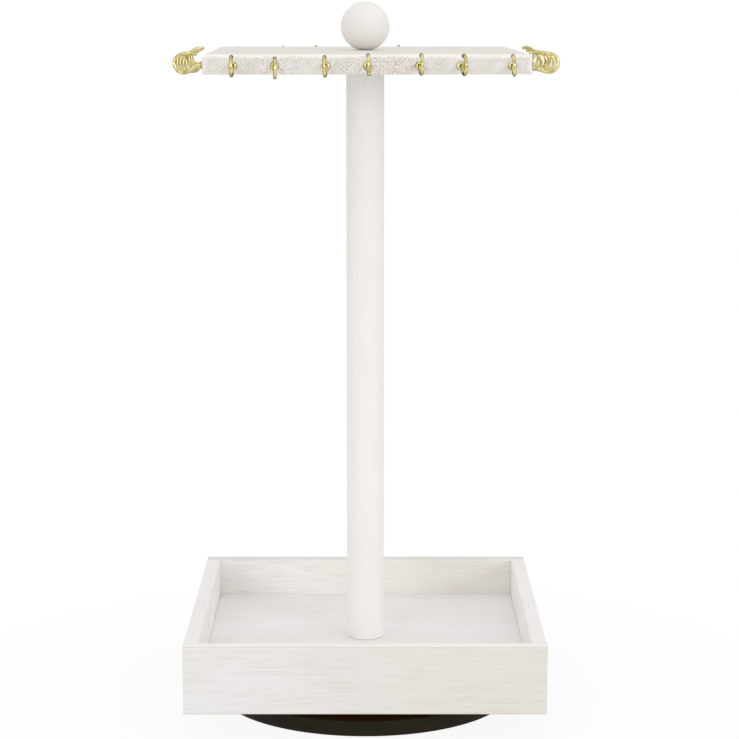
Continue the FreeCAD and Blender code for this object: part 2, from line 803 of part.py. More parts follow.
def export(pieces):
    os.makedirs("parts", exist_ok=True)
    for piece in pieces:
        piece.Shape.exportStep(f"parts/{piece.Label}.step")
    lowest = min(piece.Shape.BoundBox.ZMin for piece in pieces)
    highest = max(piece.Shape.BoundBox.ZMax for piece in pieces)
    print(f"{len(pieces)} sub-parts, {highest - lowest:.1f} mm high, lowest point at {lowest:.3f}")


stand = make_stand()
check(stand)
export(stand)
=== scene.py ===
"""Looks of the revolving jewellery stand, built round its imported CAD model.

The frame is the CAD model's own: +Z is up, -Y is the front, and the origin is on the floor under
the middle of the turntable. Lengths are millimetres unless a comment says metres, and each
piece is scaled to metres when it is done. Named angles are degrees.
"""

import math

import bmesh
import bpy
from mathutils import Matrix, Vector, noise


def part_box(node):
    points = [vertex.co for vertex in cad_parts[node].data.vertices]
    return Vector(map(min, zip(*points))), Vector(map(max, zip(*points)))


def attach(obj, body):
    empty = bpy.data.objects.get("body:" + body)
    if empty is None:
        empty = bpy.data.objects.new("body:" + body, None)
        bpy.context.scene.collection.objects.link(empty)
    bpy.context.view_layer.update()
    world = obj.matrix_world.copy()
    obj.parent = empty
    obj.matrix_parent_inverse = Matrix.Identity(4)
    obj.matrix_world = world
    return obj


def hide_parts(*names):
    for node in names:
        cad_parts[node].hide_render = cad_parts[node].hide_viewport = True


MM = 0.001

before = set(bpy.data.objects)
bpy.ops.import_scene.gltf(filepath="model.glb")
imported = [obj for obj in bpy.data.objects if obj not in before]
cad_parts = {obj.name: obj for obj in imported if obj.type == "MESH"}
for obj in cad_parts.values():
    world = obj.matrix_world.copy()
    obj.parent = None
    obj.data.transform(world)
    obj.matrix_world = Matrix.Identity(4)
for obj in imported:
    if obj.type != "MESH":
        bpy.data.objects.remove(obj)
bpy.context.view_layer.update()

# ---------------------------------------------------------------------------
# Sizes of the real object
# ---------------------------------------------------------------------------
# tray, board, post and ball
WALL_EASING = 0.6
JOINT_EASING = 0.25
EASING_UNEVEN = 0.05            # share by which sanding varies an easing
EASING_UNEVEN_SIZE = 30
BOARD_SIDE = 177.8
BOARD_ROUNDING = 3.0
BOARD_EASING = 0.8
BOARD_YAW = 0.9
POST_EASING = 0.4
PLANK_RELIEF = 0.06             # depth of the grain
POST_RELIEF = 0.05
BALL_RELIEF = 0.04

# turntable disc and its feet
DISC_EASING = 0.8
ACCESS_HOLE_RADIUS = 5.0
ACCESS_HOLE_PLACE = 41.0
ACCESS_HOLE_EASING = 0.3
FOOT_RADIUS = 7.0
FOOT_EASING = 0.45
FOOT_HOLLOW = ((2.6, 0.35), (3.4, 0.12), (4.0, 0.0))    # radius, height over the ground

# cup hooks
SIDES = ("front", "right", "back", "left")
HOOKS_PER_SIDE = 7
HOOK_END_MARGIN = 13.9
HOOK_STAGGER = 2.8
HOOK_LEVEL = 4.7
HOOK_TURNS = (-2, 3, -4, 2, 4, 8, 0)
HOOK_LEANS = (0, 0, 1.5, 2.5, 0, 1.5, 5)
HOOK_LIFTS = (-0.2, -1.2, -0.3, 0.5, 0.6, 0.3, 0.1)
NEXT_SIDE_SHIFT = 4             # each side takes these values from four hooks further on
WIRE_RADIUS = 0.95
SHANK_LENGTH = 9.0
SHANK_TAPER = 2.0
SHANK_BLUNTNESS = 0.25          # share of the wire's radius at the shank's point
SHANK_PLAIN_END = 0.5           # unthreaded length next to the collar
COLLAR_RADIUS = 2.3
COLLAR_THICKNESS = 1.3
COLLAR_FILLET = 0.12            # between the collar and the wire
COLLAR_SEAM = 0.02
# distance from the board, and how much smaller the dome is there than the collar's radius
COLLAR_DOME = ((0.0, 0.12), (0.12, 0.0), (0.45, 0.06), (0.8, 0.30), (1.08, 0.62), (1.27, 0.98))
LOOP_RADIUS = 5.0
LOOP_REACH = 10.4
LOOP_RISE = 0.4
BEND_RADIUS = 5.0
TIP_SETBACK = 2.4
TIP_ROUNDING = 0.6
WIRE_START = 0.2                # from the collar to where the bend may begin
HOOK_THREAD_PITCH = 1.1
HOOK_THREAD_DEPTH = 0.22
HOOK_THREAD_END = 0.6           # from the board's edge to the thread

# pan-head screws of the bearing
PAN_RADIUS = 3.0
PAN_HEIGHT = 2.0
PAN_ROUNDING = 0.8
PAN_UNDERSIDE = 0.1             # how much narrower the head is underneath
PAN_SHANK = 1.6
PAN_TAPER = 3.0
PAN_BLUNTNESS = 0.2             # share of the shank's radius at its point
PAN_THREAD_PITCH = 1.3
PAN_THREAD_DEPTH = 0.4
RECESS_REACH = 1.5
RECESS_HALF_WIDTH = 0.42
RECESS_DEPTH = 1.1
RECESS_TAPER = 0.45             # share by which the cross gets shallower at its ends

# ---------------------------------------------------------------------------
# Fineness of the meshes
# ---------------------------------------------------------------------------
CUT_ACROSS = 0.8
CUT_ALONG = 6.0
CUT_POST = 5.0
EASING_CUTS = (0.0, 0.4, 1.0, 2.0)              # from both ends, times the easing
BOARD_CUTS = (0.0, 0.35, 0.8, 1.4, 2.2, 3.0)    # from both ends
DISC_SEGMENTS = 240
WOOD_SEGMENTS = 96
PAN_SEGMENTS = 48
FOOT_SEGMENTS = 48
HOLE_SEGMENTS = 48
HOOK_SEGMENTS = 20
DISC_ARC_STEPS = 6
ARC_STEPS = 5
BALL_STEPS = 56
BEND_STEPS = 8
LOOP_STEPS = 48
SHANK_STEPS = 36
PAN_THREAD_STEP = 0.26
RECESS_RINGS = (2.0, 1.75, 1.55, 1.45, 1.2, 0.9, 0.6, 0.45, 0.38, 0.2)
TIP_TURN = 80                   # degrees of the tip's rounding, which a small flat closes
SHARP_ANGLE = 35.0
HOOK_SHARP_ANGLE = 50.0

# ---------------------------------------------------------------------------
# Wood and finishes
# ---------------------------------------------------------------------------
RING_SPACING = 4.2
GRAIN_SLOPE = 0.02
RING_SHARE = 0.62               # the growth rings' part in the grain; fibres have the rest
RING_BEND = 3.0
RING_BEND_SIZES = (90, 16)      # along the grain and across it
RING_WANDER = 3.5
RING_WANDER_SIZE = 23
FIBRE_SIZES = (22, 1.7)
FIBRE_SHIFT = (7, 3, 1)

# A place on the pith line of the log that each piece was cut from; the height of the board's
# is from its underside.
FRONT_PITH = (10, -150, -20)
BACK_PITH = (-20, 60, 90)
LEFT_PITH = (-150, 0, 80)
RIGHT_PITH = (60, 20, -10)
FLOOR_PITH = (0, 25, -30)
BOARD_PITH = (22, 64, -48)
POST_PITH = (9, 26, 0)
BALL_PITH = (4, 20, 0)

# Features of the whitewash, along the grain and across it.
STREAK = (22, 0.7)
PATCH = (45, 12)
DRIFT = (90, 45)
RUBBING = (25, 6)

# Speckles where the board's paint is thin: their size, the size of their patches, and between
# which places, from left to right, they come through more strongly and then more faintly.
SPECKLE = (1.0, 1.0, 1.0)
SPECKLE_PATCH = (40, 40, 40)
SPECKLE_GROWS = (-90.0, -25.0)
SPECKLE_FADES = (0.0, 60.0)

# How far under a piece's top the tones of its top and edges start, as painted light and shade,
# and over what height they come in.
RIM_TOP_BAND = 0.8
RIM_EDGE_BAND = 1.0
BOARD_TOP_BAND = 1.6
TOP_FADE = 1.0
EDGE_FADE = 0.3
# Bare wood gives way to paint between these heights over the tray's underside.
BARE_START = 0.15
BARE_END = 0.45
# Painted shade darkens the paint from this far left of the middle to as far right of it.
PAINTED_SHADE_REACH = 100.0

STAIN_DRIFT = (70, 5, 5)
STAIN_GRAIN = (16, 0.8, 0.8)
PAINTED_REFLECTION_BAND = (0.25, 0.05)   # depths under the disc's top between which a painted reflection turns it browner
BRASS_SMEAR = (3.0, 3.0, 3.0)
BRASS_BRUSHING = (0.5, 0.5, 0.5)

# Colours are screen values from 0 to 255.
PALE_PINE = (214, 182, 143)
DEEP_PINE = (198, 158, 114)
# Each wash has the paint's two tones, between which it drifts, and the wood's that shows through.
FRONT_TONES = ((238, 237, 237), (235, 232, 229), (210, 198, 184))
# The back and side walls' paint tones are painted lighter than the front's, as painted light on
# their faces inside the shaded tray.
BACK_TONES_PAINTED_LIGHTER = ((247, 246, 246), (244, 241, 238), (210, 198, 184))
SIDE_TONES_PAINTED_LIGHTER = ((244, 243, 243), (241, 238, 235), (210, 198, 184))
BOARD_TONES = ((233, 231, 229), (230, 226, 221), (186, 163, 138))
POST_TONES = ((245, 243, 241), (243, 240, 236), (222, 210, 192))
BALL_TONES = ((235, 232, 230), (232, 229, 225), (210, 200, 187))
# painted light and shade on the walls: the front's top lighter and its top arrises a darker line,
# the back's top and arrises darker, the sides' top arrises a little darker while their top keeps
# their paint's own tone; and painted shade darkening the front and back towards the right
FRONT_TOP_PAINTED_LIGHT, FRONT_EDGE_PAINTED_SHADE, FRONT_RIGHT_PAINTED_SHADE = (248, 245, 241), (214, 211, 207), (231, 227, 221)
BACK_TOP_PAINTED_SHADE, BACK_EDGE_PAINTED_SHADE, BACK_RIGHT_PAINTED_SHADE = (218, 217, 215), (226, 224, 221), (234, 231, 226)
SIDE_TOP, SIDE_EDGE_PAINTED_SHADE = (238, 236, 235), (236, 234, 231)
# the board: painted shade making its top darker than its sides, and a painted highlight on its
# arrises
BOARD_TOP_PAINTED_SHADE, BOARD_EDGE_PAINTED_HIGHLIGHT = (222, 219, 213), (243, 240, 236)
BRASS_TONES = ((231, 219, 162), (184, 169, 110))
BRASS_RIM = (14, 11, 2)
STAIN_SIDE = ((30, 25, 14), (37, 31, 19))
# the top face: painted reflection of the tray's bare underside, browner and lighter than the stain
TOP_PAINTED_REFLECTION = ((58, 38, 17), (66, 44, 21))

# ---------------------------------------------------------------------------
# Camera, light and floor
# ---------------------------------------------------------------------------
LENS = 108.67
SENSOR = 36.0
CAMERA_PLACE = (2.46, -1296.8, 415.3)
CAMERA_PITCH_DOWN = 9.54
CLIP = (0.05, 60)       # metres

# name, place, target and side in metres, power in watts, colour
LAMPS = (
    ("key_light", (1.3, -1.5, 0.62), (0, 0, 0.22), 0.45, 4.9, (1.0, 1.0, 0.995)),
    ("fill_light", (-0.9, -1.6, 0.5), (0, 0, 0.2), 0.6, 3.1, (0.98, 0.99, 1.0)),
    ("top_light", (0.2, -0.1, 1.6), (0, 0, 0.2), 1.4, 1.75, (1.0, 1.0, 1.0)),
)
WHITE = (1.0, 1.0, 1.0, 1.0)
SKY_STRENGTH = 0.92
FLOOR_SIZE = 8000.0
FLOOR_CLEAR_RADIUS = 130.0
FLOOR_WHITE_RADIUS = 340.0
FLOOR_GLOW = 0.92
FLOOR_PAINT = (222, 222, 221)


# ---------------------------------------------------------------------------
# Camera and lamps
# ---------------------------------------------------------------------------
def add_to_scene(name, data):
    thing = bpy.data.objects.new(name, data)
    bpy.context.scene.collection.objects.link(thing)
    return thing


def make_camera():
    data = bpy.data.cameras.new("camera")
    data.sensor_fit = "HORIZONTAL"
    data.sensor_width = SENSOR
    data.lens = LENS
    data.clip_start, data.clip_end = CLIP
    camera = add_to_scene("camera", data)
    camera.location = Vector(CAMERA_PLACE) * MM
    camera.rotation_euler = (math.radians(90 - CAMERA_PITCH_DOWN), 0, 0)
    bpy.context.scene.camera = camera


def make_lamp(name, place, target, side, power, colour):
    """A square soft box."""
    data = bpy.data.lights.new(name, "AREA")
    data.shape = "SQUARE"
    data.size = side
    data.energy = power
    data.color = colour
    lamp = add_to_scene(name, data)
    lamp.location = place
    lamp.rotation_euler = (Vector(target) - Vector(place)).to_track_quat("-Z", "Y").to_euler()


# ---------------------------------------------------------------------------
# Shader building
# ---------------------------------------------------------------------------
class Shader:
    """A material's or world's node tree, with short calls for the nodes that this scene uses."""

    def __init__(self, owner):
        owner.use_nodes = True
        self.owner = owner
        self.tree = owner.node_tree

    def feed(self, socket, value):
        if isinstance(value, bpy.types.NodeSocket):
            self.tree.links.new(value, socket)
        else:
            socket.default_value = value

    def node(self, kind, inputs=None, **settings):
        made = self.tree.nodes.new(kind)
        for name, value in settings.items():
            setattr(made, name, value)
        for name, value in (inputs or {}).items():
            self.feed(made.inputs[name], value)
        return made

    def maths(self, operation, first, second=0.0, third=0.0):
        made = self.node("ShaderNodeMath", operation=operation)
        for socket, value in zip(made.inputs, (first, second, third)):
            self.feed(socket, value)
        return made.outputs["Value"]

    def times(self, first, second):
        return self.maths("MULTIPLY", first, second)

    def vector_maths(self, operation, first, second=(0.0, 0.0, 0.0)):
        made = self.node("ShaderNodeVectorMath", operation=operation)
        self.feed(made.inputs[0], first)
        self.feed(made.inputs[1], second)
        return made

    def position(self):
        """The rest-pose place on the piece, in millimetres; it stays with a piece that moves."""
        object_place = self.node("ShaderNodeTexCoord").outputs["Object"]
        return self.vector_maths("DIVIDE", object_place, (MM, MM, MM)).outputs["Vector"]

    def part_of(self, vector, axis):
        return self.node("ShaderNodeSeparateXYZ", {"Vector": vector}).outputs[axis]

    def stored(self, name):
        """A value that the mesh keeps for each of its points."""
        return self.node("ShaderNodeAttribute", attribute_name=name).outputs["Fac"]

    def noise(self, place, sizes, detail=2.0, shift=0.0):
        """Noise from 0 to 1 whose features have the given sizes along X, Y and Z."""
        moved = self.vector_maths("ADD", place, (shift, shift, shift)).outputs["Vector"]
        scaled = self.vector_maths("DIVIDE", moved, sizes).outputs["Vector"]
        made = self.node("ShaderNodeTexNoise", {"Vector": scaled, "Scale": 1.0, "Detail": detail})
        return made.outputs["Fac"]

    def spread(self, value, low, high, to_low=0.0, to_high=1.0):
        """The value from low to high, spread smoothly over to_low to to_high."""
        made = self.node("ShaderNodeMapRange", interpolation_type="SMOOTHSTEP")
        for name, number in (("Value", value), ("From Min", low), ("From Max", high),
                             ("To Min", to_low), ("To Max", to_high)):
            self.feed(made.inputs[name], number)
        return made.outputs["Result"]

    def blend(self, share, first, second):
        """A colour from first to second; the Mix node's sockets for colours are 6 and 7."""
        made = self.node("ShaderNodeMix", data_type="RGBA")
        for place, value in ((0, share), (6, first), (7, second)):
            self.feed(made.inputs[place], value)
        return made.outputs[2]

    def bump(self, height, depth, strength=0.4):
        made = self.node("ShaderNodeBump", {"Height": height, "Strength": strength,
                                            "Distance": depth * MM})
        self.finish(Normal=made.outputs["Normal"])

    def finish(self, **inputs):
        """Set the surface's own sockets, whose names are written with underscores."""
        surface = self.tree.nodes["Principled BSDF"]
        for name, value in inputs.items():
            self.feed(surface.inputs[name.replace("_", " ")], value)
        return self.owner


# ---------------------------------------------------------------------------
# Finishes
# ---------------------------------------------------------------------------
def tone(red, green, blue):
    """A colour written in screen values from 0 to 255, as the linear colour a shader takes."""
    def linear(value):
        share = value / 255
        return share / 12.92 if share <= 0.04045 else ((share + 0.055) / 1.055) ** 2.4
    return (linear(red), linear(green), linear(blue), 1.0)


def new_material(name):
    return Shader(bpy.data.materials.new(name))


def stretched(along, length, width):
    """Feature sizes of grain that runs along the given axis."""
    return tuple(length if axis == along else width for axis in "XYZ")


def speckles(shader, place, below_top):
    """Dots of thin paint, in patches: faint on top, and strongest just left of the middle."""
    dots = shader.spread(shader.noise(place, SPECKLE, 2.0, 3.0), 0.47, 0.66)
    where = shader.spread(shader.noise(place, SPECKLE_PATCH, 1.0, 17.0), 0.35, 0.60, 0.30, 1.0)
    where = shader.times(where, below_top)
    across = shader.part_of(place, "X")
    where = shader.times(where, shader.spread(across, *SPECKLE_FADES, 1.0, 0.5))
    where = shader.times(where, shader.spread(across, *SPECKLE_GROWS, 0.55, 1.15))
    return shader.times(dots, where)


def whitewash(name, along, tones, show, speckle=0.0, wear=0.25, raw_below=None,
              top_from=None, top=None, edge=None, edge_from=None, painted_shade_right_to=None):
    """Whitewashed wood: its grain and fibres show faintly through a thin white paint.

    How strongly the wood comes through is given by show, by speckle for the speckles and by wear
    for the rubbed arrises. From the height top_from up, the paint turns to the tone top, painted
    light on some pieces and painted shade on others. It then also has the tone edge on the
    arrises, or only on those above the height edge_from, as a painted line, lighter on some pieces
    and darker on others. To the right it darkens to the tone painted_shade_right_to, as painted
    shade. Down at the height raw_below the wood is bare.
    """
    wash, shade, wood = [tone(*values) for values in tones]
    shader = new_material(name)
    place = shader.position()
    height = shader.part_of(place, "Z")
    grain = shader.stored("grain")
    arris = shader.stored("arris")
    streaks = shader.spread(shader.noise(place, stretched(along, *STREAK), 3.0), 0.46, 0.68)
    patch = shader.spread(shader.noise(place, stretched(along, *PATCH), 2.0, 5.0), 0.34, 0.66)
    drift = shader.spread(shader.noise(place, stretched(along, *DRIFT), 1.0, 12.0), 0.3, 0.7)

    amount = shader.maths("MULTIPLY_ADD", streaks, 0.70, shader.times(grain, 0.30))
    amount = shader.times(amount, shader.maths("MULTIPLY_ADD", patch, 0.60, 0.40))
    amount = shader.times(amount, show)
    below_top = 1.0
    if top_from is not None:
        below_top = shader.spread(height, top_from, top_from + TOP_FADE, 1.0, 0.15)
    if speckle:
        dots = speckles(shader, place, below_top)
        amount = shader.maths("MULTIPLY_ADD", dots, speckle, amount)
    if wear:
        rubbed = shader.spread(shader.noise(place, stretched(along, *RUBBING), 3.0, 9.0),
                               0.40, 0.66)
        rubbed = shader.times(rubbed, shader.spread(arris, 0.25, 0.65))
        amount = shader.maths("MULTIPLY_ADD", rubbed, wear, amount)

    paint = shader.blend(drift, wash, shade)
    # painted shade: the paint darkens towards the right
    if painted_shade_right_to is not None:
        right = shader.spread(shader.part_of(place, "X"), -PAINTED_SHADE_REACH, PAINTED_SHADE_REACH)
        paint = shader.blend(right, paint, tone(*painted_shade_right_to))
    # painted light and shade: the top's tone and the arrises' line, lighter on some pieces and
    # darker on others
    if top_from is not None:
        paint = shader.blend(below_top, tone(*top), paint)
        rounded = shader.spread(arris, 0.15, 0.45)
        if edge_from is not None:
            rounded = shader.times(rounded,
                                   shader.spread(height, edge_from, edge_from + EDGE_FADE))
        paint = shader.blend(rounded, paint, tone(*edge))
    colour = shader.blend(amount, paint, wood)
    if raw_below is not None:
        bare = shader.spread(height, raw_below + BARE_START, raw_below + BARE_END, 1.0, 0.0)
        pine = shader.blend(grain, tone(*PALE_PINE), tone(*DEEP_PINE))
        colour = shader.blend(bare, colour, pine)

    shader.bump(shader.times(streaks, -1.0), 0.05)
    roughness = shader.maths("MULTIPLY_ADD", patch, 0.12, 0.58)
    return shader.finish(Base_Color=colour, Roughness=roughness, Specular_IOR_Level=0.3)


def brass():
    """Bright brass plating: pale yellow, a little brushed, and dark where it turns away."""
    pale, deep = [tone(*values) for values in BRASS_TONES]
    shader = new_material("polished_brass")
    place = shader.position()
    smear = shader.noise(place, BRASS_SMEAR, 3.0)
    colour = shader.blend(shader.spread(smear, 0.32, 0.68), pale, deep)
    roughness = shader.maths("MULTIPLY_ADD", smear, 0.10, 0.08)
    shader.bump(shader.noise(place, BRASS_BRUSHING), 0.01, 0.3)
    return shader.finish(Base_Color=colour, Roughness=roughness, Metallic=1.0,
                         Specular_Tint=tone(*BRASS_RIM))


def simple(name, low, high, size, roughness, metallic=0.0, depth=0.02):
    """One finish whose tone drifts softly between two colours."""
    shader = new_material(name)
    place = shader.position()
    drift = shader.noise(place, (size, size, size), 3.0)
    fine = shader.noise(place, (size / 12, size / 12, size / 12))
    colour = shader.blend(shader.spread(drift, 0.3, 0.7), tone(*low), tone(*high))
    shader.bump(fine, depth)
    gloss = shader.maths("MULTIPLY_ADD", fine, 0.12, roughness)
    return shader.finish(Base_Color=colour, Roughness=gloss, Metallic=metallic,
                         Specular_IOR_Level=0.5)


def stained_black(top):
    """Black stain on the turntable: satin, and a painted reflection browns its top face."""
    shader = new_material("stained_black")
    place = shader.position()
    drift = shader.spread(shader.noise(place, STAIN_DRIFT, 3.0), 0.35, 0.65)
    side = shader.blend(drift, *[tone(*values) for values in STAIN_SIDE])
    # painted reflection: browner and lighter tones on the top face
    face = shader.blend(drift, *[tone(*values) for values in TOP_PAINTED_REFLECTION])
    start, end = PAINTED_REFLECTION_BAND
    upper = shader.spread(shader.part_of(place, "Z"), top - start, top - end)
    fine = shader.noise(place, STAIN_GRAIN)
    shader.bump(fine, 0.03)
    roughness = shader.maths("MULTIPLY_ADD", fine, 0.14, 0.44)
    return shader.finish(Base_Color=shader.blend(upper, side, face), Roughness=roughness,
                         Specular_IOR_Level=0.14)


# ---------------------------------------------------------------------------
# Sky and floor
# ---------------------------------------------------------------------------
def seen_directly(shader):
    """1 for rays from the camera and for those mirrored or let through on their way to it."""
    path = shader.node("ShaderNodeLightPath")
    shiny = shader.maths("MAXIMUM", path.outputs["Is Glossy Ray"],
                         path.outputs["Is Transmission Ray"])
    return shader.maths("MAXIMUM", path.outputs["Is Camera Ray"], shiny)


def make_world():
    """A white sky: at full strength where it is seen or mirrored, and dimmer as a light."""
    world = bpy.data.worlds.new("studio")
    shader = Shader(world)
    background = shader.tree.nodes["Background"]
    strength = shader.spread(seen_directly(shader), 0.0, 1.0, SKY_STRENGTH, 1.0)
    shader.feed(background.inputs["Strength"], strength)
    shader.feed(background.inputs["Color"], WHITE)
    bpy.context.scene.world = world


def make_floor_material():
    """A floor that looks white, with a share of plain paint near the stand for its shadow.

    To the light that bounces off it, it is plain paint all over.
    """
    shader = new_material("white_floor")
    away = shader.vector_maths("LENGTH", shader.position()).outputs["Value"]
    far = shader.spread(away, FLOOR_CLEAR_RADIUS, FLOOR_WHITE_RADIUS, FLOOR_GLOW, 1.0)
    glow = shader.node("ShaderNodeEmission", {"Color": WHITE, "Strength": 1.0})
    paint = shader.node("ShaderNodeBsdfDiffuse", {"Color": tone(*FLOOR_PAINT)})
    mixed = shader.node("ShaderNodeMixShader", {"Fac": shader.times(seen_directly(shader), far)})
    shader.feed(mixed.inputs[1], paint.outputs["BSDF"])
    shader.feed(mixed.inputs[2], glow.outputs["Emission"])
    shader.feed(shader.tree.nodes["Material Output"].inputs["Surface"], mixed.outputs["Shader"])
    return shader.owner


def make_floor():
    mesh = bpy.data.meshes.new("studio_floor")
    half = FLOOR_SIZE / 2 * MM
    mesh.from_pydata([(-half, -half, 0), (half, -half, 0), (half, half, 0), (-half, half, 0)],
                     [], [(0, 1, 2, 3)])
    mesh.materials.append(make_floor_material())
    add_to_scene("studio_floor", mesh)


# ---------------------------------------------------------------------------
# Mesh building
# ---------------------------------------------------------------------------
def node_box(node):
    """A CAD node's lowest and highest corner, in millimetres."""
    lowest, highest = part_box(node)
    return lowest / MM, highest / MM


def make_piece(name, mesh_maker, material, body, nodes, sharp_angle=SHARP_ANGLE):
    """Finish a bmesh as a smooth piece that rides on a body and stands for its CAD nodes."""
    bmesh.ops.recalc_face_normals(mesh_maker, faces=mesh_maker.faces[:])
    bmesh.ops.scale(mesh_maker, vec=(MM, MM, MM), verts=mesh_maker.verts[:])
    mesh = bpy.data.meshes.new(name)
    mesh_maker.to_mesh(mesh)
    mesh_maker.free()
    mesh.polygons.foreach_set("use_smooth", [True] * len(mesh.polygons))
    mesh.set_sharp_from_angle(angle=math.radians(sharp_angle))
    mesh.materials.append(material)
    piece = add_to_scene(name, mesh)
    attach(piece, body)
    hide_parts(*nodes)
    return piece


def on_circle(radius, degrees):
    """The way across and up from a circle's centre to the point at an angle."""
    angle = math.radians(degrees)
    return radius * math.cos(angle), radius * math.sin(angle)


def arc_points(centre, radius, start, end, count):
    """Points on an arc in a plane, with angles in degrees."""
    points = []
    for number in range(count + 1):
        across, up = on_circle(radius, start + (end - start) * number / count)
        points.append((centre[0] + across, centre[1] + up))
    return points


def quarter_turns(x, y):
    """A place and its copies after each quarter turn about the axis."""
    return [(x, y), (-y, x), (-x, -y), (y, -x)]


def ring_angles(segments):
    """The angles of a ring's points, in radians."""
    return [2 * math.pi * number / segments for number in range(segments)]


def add_level_ring(mesh, centre, radius, height, segments):
    ring = []
    for angle in ring_angles(segments):
        ring.append(mesh.verts.new((centre[0] + radius * math.cos(angle),
                                    centre[1] + radius * math.sin(angle), height)))
    return ring


def join_rings(mesh, rings, capped=True):
    """Join rings of vertices, one after the other, into a skin that is closed where capped."""
    for one, two in zip(rings, rings[1:]):
        for number in range(len(one)):
            after = (number + 1) % len(one)
            mesh.faces.new((one[number], one[after], two[after], two[number]))
    if capped:
        mesh.faces.new(rings[0])
        mesh.faces.new(rings[-1])


# ---------------------------------------------------------------------------
# Wooden pieces
# ---------------------------------------------------------------------------
def in_sizes(point, along, sizes):
    """The point, measured in a feature's sizes along the grain and across it."""
    length, width = sizes
    return point * Vector(stretched(along, 1 / length, 1 / width))


def grain_at(point, along, pith):
    """Height of the grain from 0 to 1: late wood of the growth rings, and coarse fibres.

    The rings lie round a pith line that passes the given place, a little out of line with the
    plank, so that the rings run out on its faces in long arches.
    """
    axis = "XYZ".index(along)
    run = point[axis]
    side = point - Vector(pith)
    side[axis] = 0
    side[(axis + 1) % 3] += run * GRAIN_SLOPE
    bend = (noise.noise(in_sizes(point, along, RING_BEND_SIZES)) * RING_BEND
            + noise.noise(side / RING_WANDER_SIZE) * RING_WANDER)
    ring = 0.5 + 0.5 * math.sin((side.length + bend) / RING_SPACING * 2 * math.pi)
    fibre = noise.noise(in_sizes(point, along, FIBRE_SIZES) + Vector(FIBRE_SHIFT))
    height = RING_SHARE * ring ** 2 + (1 - RING_SHARE) * (0.5 + 0.5 * fibre)
    return min(max(height, 0.0), 1.0)


class Wood:
    """A wooden piece in the making: it keeps the grain and arris values of its points."""

    def __init__(self, along, pith, relief):
        self.mesh = bmesh.new()
        self.grain = self.mesh.verts.layers.float.new("grain")
        self.arris = self.mesh.verts.layers.float.new("arris")
        self.along = along
        self.pith = pith
        self.relief = relief

    def add(self, point, outward, arris=0.0):
        """A surface point, sunk along its outward direction where the grain is low."""
        height = grain_at(point, self.along, self.pith)
        vertex = self.mesh.verts.new(point - outward * self.relief * (1 - height))
        vertex[self.grain] = height
        vertex[self.arris] = arris
        return vertex


def steps(low, high, spacing, near_end):
    """Places from low to high: at the given distances from both ends, and even between."""
    first, last = low + near_end[-1], high - near_end[-1]
    count = max(1, round((last - first) / spacing))
    middle = [first + (last - first) * number / count for number in range(count + 1)]
    return ([low + gap for gap in near_end[:-1]] + middle
            + [high - gap for gap in reversed(near_end[:-1])])


def add_grid_box(wood, cuts, shape):
    """A closed box of quads cut at the given places; shape(point) gives each point's surface."""
    made = {}
    last = [len(places) - 1 for places in cuts]

    def corner(*key):
        if key not in made:
            made[key] = wood.add(*shape(Vector([cuts[axis][key[axis]] for axis in range(3)])))
        return made[key]

    for axis in range(3):
        one, two = (axis + 1) % 3, (axis + 2) % 3
        for end in (0, last[axis]):
            for i in range(last[one]):
                for j in range(last[two]):
                    keys = []
                    for step_one, step_two in ((0, 0), (1, 0), (1, 1), (0, 1)):
                        key = [0, 0, 0]
                        key[axis], key[one], key[two] = end, i + step_one, j + step_two
                        keys.append(tuple(key))
                    wood.mesh.faces.new([corner(*key) for key in keys])


def eased(point, lowest, highest, radius):
    """A box's surface point moved onto its rounded arris: point, outward direction, arris."""
    inner = Vector([min(max(point[axis], lowest[axis] + radius), highest[axis] - radius)
                    for axis in range(3)])
    outward = (point - inner).normalized()
    arris = sorted(abs(part) for part in outward)[1]
    return inner + outward * radius, outward, arris


def make_plank(name, node, along, pith, material, easing):
    """A straight plank with hand-sanded arrises, a little uneven along their length."""
    lowest, highest = node_box(node)
    wood = Wood(along, pith, PLANK_RELIEF)

    def shape(point):
        uneven = 1 - EASING_UNEVEN * (1 - noise.noise(point / EASING_UNEVEN_SIZE))
        return eased(point, lowest, highest, easing * uneven)

    near_end = [easing * share for share in EASING_CUTS]
    spacing = stretched(along, CUT_ALONG, CUT_ACROSS)
    cuts = [steps(*ends, near_end) for ends in zip(lowest, highest, spacing)]
    add_grid_box(wood, cuts, shape)
    return make_piece(name, wood.mesh, material, "stand", [node])


